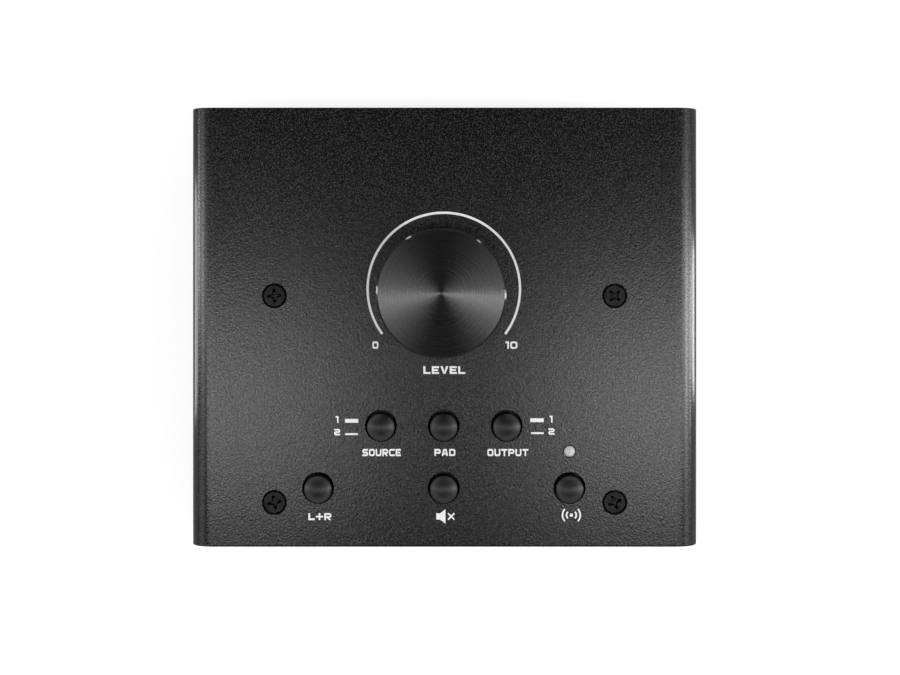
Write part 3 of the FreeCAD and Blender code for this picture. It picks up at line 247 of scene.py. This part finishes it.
def mixed(shader, share, first, second, colour=False):
    """First where share is 0 and second where it is 1. The sockets differ for numbers and colours."""
    node = add(shader, "ShaderNodeMix")
    first_socket, second_socket, result = (2, 3, 0)
    if colour:
        node.data_type = "RGBA"
        first_socket, second_socket, result = (6, 7, 2)
    for socket, value in ((0, share), (first_socket, first), (second_socket, second)):
        shader.id_data.links.new(value, node.inputs[socket])
    return node.outputs[result]


def between(shader, value, low, high, start=0.3, end=0.7):
    """Value stretched from the range start to end, onto the range low to high."""
    node = add(shader, "ShaderNodeMapRange", Value=value)
    for socket, number in zip(node.inputs[1:5], (start, end, low, high)):
        socket.default_value = number
    return node.outputs[0]


def shade(shader, value, dark, light, start=0.3, end=0.7):
    """A colour between dark and light, as value runs from start to end."""
    ramp = add(shader, "ShaderNodeValToRGB", Fac=value)
    ramp.color_ramp.elements[0].position = start
    ramp.color_ramp.elements[0].color = (*dark, 1)
    ramp.color_ramp.elements[1].position = end
    ramp.color_ramp.elements[1].color = (*light, 1)
    return ramp.outputs[0]


def feed(shader, name, socket):
    """Links a value to one of the shader's own sockets."""
    shader.id_data.links.new(socket, shader.inputs[name])


def bumps(shader, *layers):
    """Bump from several layers, each a height value and how many metres its full range stands."""
    normal = None
    for height, depth in layers:
        node = add(shader, "ShaderNodeBump", Height=height, Distance=depth, Strength=1.0)
        if normal is not None:
            shader.id_data.links.new(normal, node.inputs["Normal"])
        normal = node.outputs[0]
    feed(shader, "Normal", normal)


def settings(shader, **values):
    """Plain numbers for the shader's own sockets."""
    for name, value in values.items():
        shader.inputs[name.replace("_", " ")].default_value = value


def surface(name, dark, light, grain, rough, metal=0.0, height=0.000004):
    """A finish with uneven colour and gloss and a fine bump. Rough is the range of the roughness."""
    made, shader = new_material(name)
    spots = noise(shader, grain)
    feed(shader, "Base Color", shade(shader, noise(shader, grain * 6), dark, light))
    feed(shader, "Roughness", between(shader, spots, rough[0], rough[1]))
    bumps(shader, (spots, height))
    settings(shader, Metallic=metal)
    return made


def powder_coat():
    """Black powder coat with a fine leathery grain and brighter specks."""
    made, shader = new_material("powder_coat")
    grain = noise(shader, 0.0006, 0.0)
    specks = noise(shader, 0.00034, 0.0)
    bright = between(shader, specks, 0.0, 1.0, 0.47, 0.8)
    colour = shade(shader, bright, (0.0006, 0.0006, 0.00063), (0.038, 0.038, 0.0387), 0.0, 1.0)
    feed(shader, "Base Color", colour)
    feed(shader, "Roughness", between(shader, noise(shader, 0.0004, 0.0), 0.14, 0.25))
    bumps(shader, (grain, 0.000012), (specks, 0.00001))
    settings(shader, Specular_IOR_Level=0.38)
    return made


def radius_from_knob_axis(shader):
    """How far each point of the knob is from its axis, in metres."""
    centre = (-KNOB_X, -KNOB_Y, 0)
    centred = add(shader, "ShaderNodeMapping", Vector=place(shader), Location=centre, Scale=(1, 1, 0))
    length = add(shader, "ShaderNodeVectorMath")
    length.operation = "LENGTH"
    shader.id_data.links.new(centred.outputs[0], length.inputs[0])
    return length.outputs["Value"]


def turned_black():
    """Black anodised aluminium with the fine rings that a lathe leaves. Their flanks lean outward."""
    made, shader = new_material("turned_black")
    radius = radius_from_knob_axis(shader)
    specks = noise(shader, 0.0003, 0.0)
    lathe = add(shader, "ShaderNodeTexNoise", Scale=LATHE_RINGS, Detail=2.0, Roughness=0.7)
    lathe.noise_dimensions = "1D"
    shader.id_data.links.new(radius, lathe.inputs["W"])
    rings = lathe.outputs[0]
    height = add(shader, "ShaderNodeSeparateXYZ", Vector=place(shader)).outputs["Z"]
    edge_z = (KNOB_HIGH.z - EDGE_STARTS_BELOW, KNOB_HIGH.z - EDGE_FULL_BELOW)
    high = between(shader, height, 0.0, 1.0, *edge_z)
    outer = between(shader, radius, 0.0, 1.0, KNOB_RIM, KNOB_RIM + EDGE_FADE)
    rim = multiplied(shader, high, outer)
    face_colour = shade(shader, rings, (0.06, 0.06, 0.061), (0.067, 0.067, 0.068))
    # The broken edge is coloured a little darker than the face. This darker colour is painted shade that
    # makes the edge read as a dark ring. Its lower roughness below is the edge's own gloss.
    rim_painted_shade_colour = shade(shader, specks, (0.05, 0.05, 0.051), (0.06, 0.06, 0.061))
    feed(shader, "Base Color", mixed(shader, rim, face_colour, rim_painted_shade_colour, colour=True))
    face_rough = between(shader, rings, 0.26, 0.28)
    rim_rough = between(shader, specks, 0.1, 0.14)
    feed(shader, "Roughness", mixed(shader, rim, face_rough, rim_rough))
    tangent = add(shader, "ShaderNodeTangent")
    tangent.direction_type = "RADIAL"
    tangent.axis = "Z"
    feed(shader, "Tangent", tangent.outputs[0])
    lean = between(shader, radius, 1.0, 0.0, 0.0, KNOB_RIM)
    bumps(shader, (lean, KNOB_RIM * LATHE_LEAN), (specks, 0.000008))
    settings(shader, Metallic=1.0, Anisotropic=1.0, Anisotropic_Rotation=0.25)
    return made


def threaded_nickel():
    """Bright nickel with the ridges of a fine thread along the rearward axis."""
    made, shader = new_material("threaded_nickel")
    where = place(shader)
    ridges = add(shader, "ShaderNodeTexWave", Vector=where, Scale=THREAD_RIDGES, Distortion=0.0)
    ridges.bands_direction = "Y"
    smudge = noise(shader, 0.002)
    feed(shader, "Base Color", shade(shader, smudge, (0.5, 0.48, 0.44), (0.68, 0.66, 0.61)))
    feed(shader, "Roughness", between(shader, smudge, 0.16, 0.32))
    bumps(shader, (ridges.outputs[1], THREAD_DEPTH))
    settings(shader, Metallic=1.0)
    return made


def board(name, dark, light):
    """Solder mask over copper tracks, with the glass cloth just showing."""
    made, shader = new_material(name)
    where = place(shader)
    tracks = add(shader, "ShaderNodeTexBrick", Vector=where, Scale=BOARD_TRACKS)
    tracks.inputs["Color1"].default_value = (*dark, 1)
    tracks.inputs["Color2"].default_value = (*light, 1)
    tracks.inputs["Mortar"].default_value = (*[c * TRACK_GAP_SHADE for c in dark], 1)
    feed(shader, "Base Color", tracks.outputs[0])
    feed(shader, "Roughness", between(shader, noise(shader, 0.0006), 0.28, 0.42))
    bumps(shader, (tracks.outputs[1], TRACK_DEPTH), (noise(shader, 0.0004), 0.000005))
    return made


def lens():
    """Milky epoxy of the lamp, lighter where the lead frame shows through it."""
    made, shader = new_material("milky_lens")
    cloud = noise(shader, 0.0007)
    feed(shader, "Base Color", shade(shader, cloud, (0.58, 0.58, 0.575), (0.7, 0.7, 0.69)))
    feed(shader, "Roughness", between(shader, cloud, 0.12, 0.22))
    bumps(shader, (cloud, 0.00001))
    settings(shader, Subsurface_Weight=0.15, Subsurface_Scale=0.0006)
    return made


def print_ink():
    """White screen print, a little uneven."""
    dark, light = (0.93, 0.93, 0.92), (0.98, 0.98, 0.97)
    return surface("print_ink", dark, light, 0.0004, (0.18, 0.26), height=0.000003)


# The finish of each material slot
FINISHES = {
    "cover_paint": powder_coat(),
    "base_paint": surface(
        "satin_black", (0.014, 0.014, 0.0145), (0.02, 0.02, 0.021), 0.0006, (0.36, 0.48), height=0.00001
    ),
    "foot_rubber": surface(
        "foot_rubber", (0.012, 0.012, 0.012), (0.022, 0.022, 0.021), 0.0005, (0.6, 0.8), height=0.00002
    ),
    "zinc_screws": surface("zinc", (0.42, 0.42, 0.4), (0.6, 0.6, 0.56), 0.0007, (0.25, 0.4), 1.0),
    "black_screws": surface(
        "black_oxide", (0.01, 0.01, 0.0103), (0.018, 0.018, 0.0186), 0.0004, (0.22, 0.34), 1.0
    ),
    "standoff_brass": surface("brass", (0.55, 0.4, 0.16), (0.7, 0.52, 0.24), 0.0008, (0.2, 0.35), 1.0),
    "board_laminate": board("green_board", (0.012, 0.09, 0.03), (0.014, 0.11, 0.036)),
    "module_laminate": board("blue_board", (0.01, 0.03, 0.14), (0.012, 0.04, 0.17)),
    "pot_steel": surface("stamped_steel", (0.4, 0.4, 0.4), (0.55, 0.55, 0.54), 0.001, (0.25, 0.4), 1.0),
    "wafer_phenolic": surface(
        "brown_laminate", (0.16, 0.07, 0.025), (0.26, 0.12, 0.05), 0.0006, (0.5, 0.65)
    ),
    "nickel": threaded_nickel(),
    "rotor_plastic": surface("natural_nylon", (0.6, 0.57, 0.5), (0.75, 0.72, 0.65), 0.001, (0.4, 0.5)),
    "knob_aluminium": turned_black(),
    "cap_plastic": surface(
        "satin_cap", (0.004, 0.004, 0.0042), (0.007, 0.007, 0.0073), 0.0004, (0.38, 0.46)
    ),
    "insert_plastic": surface(
        "moulded_insert", (0.012, 0.012, 0.012), (0.02, 0.02, 0.02), 0.0006, (0.5, 0.6)
    ),
    "switch_plastic": surface(
        "moulded_switch", (0.014, 0.014, 0.014), (0.024, 0.024, 0.024), 0.0006, (0.4, 0.5)
    ),
    "plunger_plastic": surface("white_nylon", (0.66, 0.66, 0.63), (0.8, 0.8, 0.77), 0.0006, (0.35, 0.45)),
    "lamp_lens": lens(),
    "black_plastic": surface(
        "moulded_black", (0.01, 0.01, 0.01), (0.018, 0.018, 0.018), 0.0006, (0.35, 0.5)
    ),
    "rocker_plastic": surface(
        "glossy_rocker", (0.008, 0.008, 0.008), (0.014, 0.014, 0.014), 0.0006, (0.2, 0.28)
    ),
    "can_steel": surface("tinned_steel", (0.5, 0.5, 0.5), (0.66, 0.66, 0.65), 0.0012, (0.2, 0.34), 1.0),
    "chip_epoxy": surface(
        "moulded_epoxy", (0.014, 0.014, 0.014), (0.024, 0.024, 0.024), 0.0003, (0.55, 0.7)
    ),
    "capacitor_sleeve": surface(
        "capacitor_sleeve", (0.01, 0.014, 0.05), (0.016, 0.022, 0.08), 0.0008, (0.25, 0.35)
    ),
    "ribbon_grey": surface("ribbon_vinyl", (0.32, 0.32, 0.34), (0.42, 0.42, 0.44), 0.0006, (0.4, 0.55)),
}
INK = print_ink()

for row in frame["record"]["subparts"]:
    mesh = frame["nodes"][row["node"]].data
    mesh.materials.clear()
    mesh.materials.append(FINISHES[row["material_slot"]])


# White print on the top face and the rear panel


def on_top(px, py):
    """The place on the top face that this pixel of the photograph shows."""
    x = (px - CASE_CENTRE_PX[0]) / PIXELS_PER_METRE
    y = (CASE_CENTRE_PX[1] - py) / PIXELS_PER_METRE
    return Vector((x, y))


def finish_print(name, mesh, body="case"):
    """A printed mesh becomes a piece of the object."""
    mesh.materials.clear()
    mesh.materials.append(INK)
    made = bpy.data.objects.new(name, mesh)
    bpy.context.scene.collection.objects.link(made)
    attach(made, body)


def flat_mesh(strips, shapes=()):
    """One thin mesh. A strip is a row of point pairs and whether it closes, a shape a ring of points."""
    sheet = bmesh.new()
    for pairs, closed in strips:
        rims = []
        for a, b in pairs:
            corners = ((a, -PRINT_SINK), (b, -PRINT_SINK), (b, PRINT_RISE), (a, PRINT_RISE))
            rims.append([sheet.verts.new((p[0], p[1], z)) for p, z in corners])
        for a, b in zip(rims, rims[1:] + rims[:1] if closed else rims[1:]):
            for k in range(4):
                sheet.faces.new((a[k], a[(k + 1) % 4], b[(k + 1) % 4], b[k]))
        if not closed:
            sheet.faces.new(rims[0])
            sheet.faces.new(rims[-1])
    for points in shapes:
        low = [sheet.verts.new((x, y, -PRINT_SINK)) for x, y in points]
        high = [sheet.verts.new((x, y, PRINT_RISE)) for x, y in points]
        sheet.faces.new(low)
        sheet.faces.new(high)
        for a, b, c, d in zip(low, low[1:] + low[:1], high[1:] + high[:1], high):
            sheet.faces.new((a, b, c, d))
    bmesh.ops.recalc_face_normals(sheet, faces=sheet.faces)
    mesh = bpy.data.meshes.new("print")
    sheet.to_mesh(mesh)
    sheet.free()
    return mesh


def slab(shapes):
    """A thin mesh of shapes alone."""
    return flat_mesh((), shapes)


def band(centre, radius, line, start, end, steps):
    """Part of a ring. Angles run clockwise from straight up."""
    pairs = []
    for i in range(steps + 1):
        angle = start + (end - start) * i / steps
        way = Vector((math.sin(angle), math.cos(angle)))
        pairs.append((centre + way * (radius - line / 2), centre + way * (radius + line / 2)))
    return flat_mesh([(pairs, False)])


def bar(left, right, top, bottom):
    """A rectangle between these pixels, as a ring of points."""
    a, b = on_top(left, bottom), on_top(right, top)
    return [(a.x, a.y), (b.x, a.y), (b.x, b.y), (a.x, b.y)]


def corners_cut(points, closed):
    """The same line with its corners cut off."""
    made = []
    for i, point in enumerate(points):
        here = Vector(point)
        if not closed and i in (0, len(points) - 1):
            made.append(here)
            continue
        for other in (points[i - 1], points[(i + 1) % len(points)]):
            made.append(here + (Vector(other) - here).normalized() * LETTER_CORNER)
    return made


def stroke(points, closed=False, soft=True):
    """A line of even width as point pairs, mitred at its corners."""
    line = corners_cut(points, closed) if soft else [Vector(point) for point in points]
    pairs = []
    for i, here in enumerate(line):
        ways = []
        if closed or i > 0:
            ways.append((here - line[i - 1]).normalized())
        if closed or i < len(line) - 1:
            ways.append((line[(i + 1) % len(line)] - here).normalized())
        sides = [Vector((-way.y, way.x)) for way in ways]
        out = (sides[0] + sides[-1]) / (1 + sides[0].dot(sides[-1])) * LETTER_LINE / 2
        pairs.append((here - out, here + out))
    return pairs, closed


def letter(sign):
    """Width, strokes and shapes of one bold squarish letter that stands 1 high."""
    edge = LETTER_LINE / 2
    low, mid, top = edge, 0.5, 1 - edge
    wide = NARROW_WIDTHS.get(sign, LETTER_WIDTH)
    left, right, middle = edge, wide - edge, wide / 2
    rounded, sharp, shapes, closed = [], [], [], False
    if sign in "O0":
        rounded, closed = [((left, low), (right, low), (right, top), (left, top))], True
    elif sign == "D":
        rounded = [((middle, top), (right, top), (right, low), (middle, low))]
        sharp = [((middle, low), (left, low), (left, top), (middle, top))]
    elif sign == "L":
        sharp = [((left, 1), (left, low), (wide, low))]
    elif sign == "E":
        sharp = [((wide, top), (left, top), (left, low), (wide, low))]
        sharp.append(((LETTER_LINE, mid), (wide - edge, mid)))
    elif sign == "C":
        rounded = [((wide, top), (left, top), (left, low), (wide, low))]
    elif sign == "U":
        rounded = [((left, 1), (left, low), (right, low), (right, 1))]
    elif sign == "S":
        rounded = [((wide, top), (left, top), (left, mid), (right, mid), (right, low), (0, low))]
    elif sign == "2":
        rounded = [((0, top), (right, top), (right, mid), (left, mid), (left, low), (wide, low))]
    elif sign == "T":
        sharp = [((0, top), (wide, top)), ((middle, top - edge), (middle, 0))]
    elif sign == "1":
        sharp = [((right, 0), (right, 1)), ((0, top), (right - edge, top))]
    elif sign == "+":
        sharp = [((0, mid), (wide, mid))]
        sharp.append(((middle, mid + edge), (middle, mid + middle)))
        sharp.append(((middle, mid - edge), (middle, mid - middle)))
    elif sign == "A":
        rung = low + A_BAR_RISE
        sharp = [((left, 0), (left + A_SLOPE, top), (right - A_SLOPE, top), (right, 0))]
        sharp.append(((left + A_SLOPE, rung), (right - A_SLOPE, rung)))
    elif sign in "PR":
        bowl = mid - edge / 2
        sharp = [((left, 0), (left, 1))]
        rounded = [((LETTER_LINE, top), (right, top), (right, bowl), (LETTER_LINE, bowl))]
        if sign == "R":
            hip = bowl - edge
            leg_top, leg_foot = LETTER_LINE * R_LEG_TOP, LETTER_LINE * R_LEG_FOOT
            shapes = [((middle - edge, hip), (middle + leg_top, hip), (wide, 0), (wide - leg_foot, 0))]
    elif sign == "V":
        arm = LETTER_LINE * V_ARM
        outside = ((0, 1), (middle - edge, 0), (middle + edge, 0), (wide, 1))
        shapes = [outside + ((wide - arm, 1), (middle, V_NOTCH), (arm, 1))]
    strokes = [stroke(points, closed) for points in rounded]
    strokes += [stroke(points, soft=False) for points in sharp]
    return wide, strokes, shapes


def lettering(text):
    """A word as a flat mesh."""
    strips, shapes, along = [], [], 0.0
    for sign in text:
        wide, strokes, solid = letter(sign)
        for pairs, closed in strokes:
            strips.append(([((a[0] + along, a[1]), (b[0] + along, b[1])) for a, b in pairs], closed))
        shapes += [[(x + along, y) for x, y in points] for points in solid]
        along += wide + LETTER_GAP
    return flat_mesh(strips, shapes)


def fit(mesh, low, high):
    """Stretches a flat mesh so that it fills the rectangle from low to high."""
    xs = [v.co.x for v in mesh.vertices]
    ys = [v.co.y for v in mesh.vertices]
    wide, tall = max(xs) - min(xs), max(ys) - min(ys)
    for v in mesh.vertices:
        v.co.x = low[0] + (v.co.x - min(xs)) / wide * (high[0] - low[0])
        v.co.y = low[1] + (v.co.y - min(ys)) / tall * (high[1] - low[1])
    return mesh


def lift(mesh):
    """Moves a mesh from level zero up to the top face."""
    mesh.transform(Matrix.Translation((0, 0, TOP_FACE)))
    return mesh


def cross(centre, reach, line):
    """An upright plus sign as one ring of points, turned by an eighth."""
    half, tip = line / 2, reach
    plus = [(half, half), (half, tip), (-half, tip), (-half, half), (-tip, half), (-tip, -half)]
    plus += [(-half, -half), (-half, -tip), (half, -tip), (half, -half), (tip, -half), (tip, half)]
    turn = Matrix.Rotation(math.radians(45), 2)
    return [tuple(centre + turn @ Vector(point)) for point in plus]


def disc(centre, radius, corners):
    """A filled circle as one ring of points."""
    angles = [k * math.tau / corners for k in range(corners)]
    return [tuple(centre + Vector((math.cos(t), math.sin(t))) * radius) for t in angles]


for name, (text, left, right, top, bottom) in WORDS.items():
    word = fit(lettering(text), on_top(left, bottom), on_top(right, top))
    finish_print("print_" + name, lift(word))
for name, bars in BARS.items():
    finish_print("print_" + name, lift(slab([bar(*edges) for edges in bars])))

speaker = [tuple(on_top(*point)) for point in reversed(SPEAKER_PX)]
mute_cross = cross(on_top(*CROSS_PX), CROSS_REACH, CROSS_LINE)
finish_print("print_mute", lift(slab([speaker, mute_cross])))
for side in (-1, 1):
    for ring, radius in enumerate(WAVE_RADII):
        middle = math.radians(90) * side
        ends = (middle - WAVE_HALF_TURN, middle + WAVE_HALF_TURN)
        wave = band(on_top(*WAVES_PX), radius, WAVE_LINE, *ends, WAVE_STEPS)
        finish_print("print_wave_%d_%d" % (side + 1, ring), lift(wave))
finish_print("print_wave_dot", lift(slab([disc(on_top(*WAVES_PX), DOT_RADIUS, DOT_CORNERS)])))

for name, (text, x, z, wide, tall) in REAR_WORDS.items():
    low = (-(x + wide / 2) / MILLIMETRES, (z - tall / 2) / MILLIMETRES)
    high = (-(x - wide / 2) / MILLIMETRES, (z + tall / 2) / MILLIMETRES)
    word = fit(lettering(text), low, high)
    word.transform(FACING_REAR)
    finish_print("print_" + name, word)

dial = band(on_top(*DIAL_PX), DIAL_RADIUS - DIAL_LINE / 2, DIAL_LINE, -DIAL_END, DIAL_END, DIAL_STEPS)
finish_print("print_dial", lift(dial))


# Floor, world, lights and camera


def stage_floor():
    """A large pale floor that reads white to the camera and keeps a soft shadow."""
    sheet = bmesh.new()
    bmesh.ops.create_grid(sheet, x_segments=2, y_segments=2, size=FLOOR_REACH)
    mesh = bpy.data.meshes.new("floor")
    sheet.to_mesh(mesh)
    sheet.free()
    floor = bpy.data.objects.new("floor", mesh)
    bpy.context.scene.collection.objects.link(floor)
    made = bpy.data.materials.new("pale_floor")
    made.use_nodes = True
    tree = made.node_tree
    tree.nodes.clear()
    out = tree.nodes.new("ShaderNodeOutputMaterial")
    matt = tree.nodes.new("ShaderNodeBsdfDiffuse")
    matt.inputs["Color"].default_value = (FLOOR_GREY, FLOOR_GREY, FLOOR_GREY, 1)
    glow = tree.nodes.new("ShaderNodeEmission")
    path = tree.nodes.new("ShaderNodeLightPath")
    lift_by = tree.nodes.new("ShaderNodeMath")
    lift_by.operation = "MULTIPLY"
    lift_by.inputs[1].default_value = FLOOR_LIFT
    tree.links.new(path.outputs["Is Camera Ray"], lift_by.inputs[0])
    tree.links.new(lift_by.outputs[0], glow.inputs["Strength"])
    both = tree.nodes.new("ShaderNodeAddShader")
    tree.links.new(matt.outputs[0], both.inputs[0])
    tree.links.new(glow.outputs[0], both.inputs[1])
    tree.links.new(both.outputs[0], out.inputs["Surface"])
    mesh.materials.append(made)


def stage_world():
    """Bright at middling heights and dark overhead, as SKY says, and plain white to the camera."""
    world = bpy.data.worlds.new("studio")
    bpy.context.scene.world = world
    world.use_nodes = True
    tree = world.node_tree
    tree.nodes.clear()
    out = tree.nodes.new("ShaderNodeOutputWorld")
    where = tree.nodes.new("ShaderNodeTexCoord")
    axes = tree.nodes.new("ShaderNodeSeparateXYZ")
    tree.links.new(where.outputs["Generated"], axes.inputs[0])
    ramp = tree.nodes.new("ShaderNodeValToRGB")
    stops = ramp.color_ramp.elements
    for position, grey in SKY:
        stop = stops.new(position)
        stop.color = (grey, grey, grey, 1)
    stops.remove(stops[0])
    stops.remove(stops[-1])
    tree.links.new(axes.outputs["Z"], ramp.inputs["Fac"])
    room = tree.nodes.new("ShaderNodeBackground")
    tree.links.new(ramp.outputs[0], room.inputs["Color"])
    white = tree.nodes.new("ShaderNodeBackground")
    white.inputs["Color"].default_value = (1, 1, 1, 1)
    path = tree.nodes.new("ShaderNodeLightPath")
    choose = tree.nodes.new("ShaderNodeMixShader")
    tree.links.new(path.outputs["Is Camera Ray"], choose.inputs[0])
    tree.links.new(room.outputs[0], choose.inputs[1])
    tree.links.new(white.outputs[0], choose.inputs[2])
    tree.links.new(choose.outputs[0], out.inputs["Surface"])


def soft_light(name, where, size, glow, aim=None):
    """A rectangular soft light that faces down, or towards aim. Its glow is 1 where it looks white."""
    lamp = bpy.data.lights.new(name, "AREA")
    lamp.shape = "RECTANGLE"
    lamp.size, lamp.size_y = size
    lamp.energy = glow * math.pi * size[0] * size[1]
    made = bpy.data.objects.new(name, lamp)
    made.location = where
    if aim is not None:
        made.rotation_euler = (Vector(aim) - Vector(where)).to_track_quat("-Z", "Y").to_euler()
    made.visible_camera = False
    bpy.context.scene.collection.objects.link(made)
    return made


stage_floor()
stage_world()
for side, glow in STRIPS:
    soft_light("strip_%d" % side, (side * STRIP_X, STRIP_Y, TOP_FACE + STRIP_RISE), STRIP_SIZE, glow)
for name, (where, size, glow, aim_z) in SIDE_LIGHTS.items():
    soft_light(name, where, size, glow, (0.0, 0.0, aim_z))
for side, along, wide, glow in CARDS:
    card = soft_light("card_%d" % side, (side * CARD_X, along, CARD_RISE), (CARD_LENGTH, wide), glow)
    card.rotation_euler = (math.pi, 0, 0)
for turn, wide in GLINTS:
    angle = math.radians(turn)
    where = (KNOB_X + math.cos(angle), KNOB_Y + math.sin(angle), GLINT_RISE)
    soft_light("glint_%d" % turn, where, (wide, GLINT_TALL), GLINT_GLOW, GLINT_AIM)

eye = bpy.data.cameras.new("camera")
eye.lens = LENS
eye.sensor_width = SENSOR
eye.shift_y = FRAME_SHIFT
eye.clip_start = CLIP_START
camera = bpy.data.objects.new("camera", eye)
camera.location = (*CAMERA_PLACE, TOP_FACE + CAMERA_RISE)
bpy.context.scene.collection.objects.link(camera)
bpy.context.scene.camera = camera

bpy.context.scene.view_settings.view_transform = "Standard"
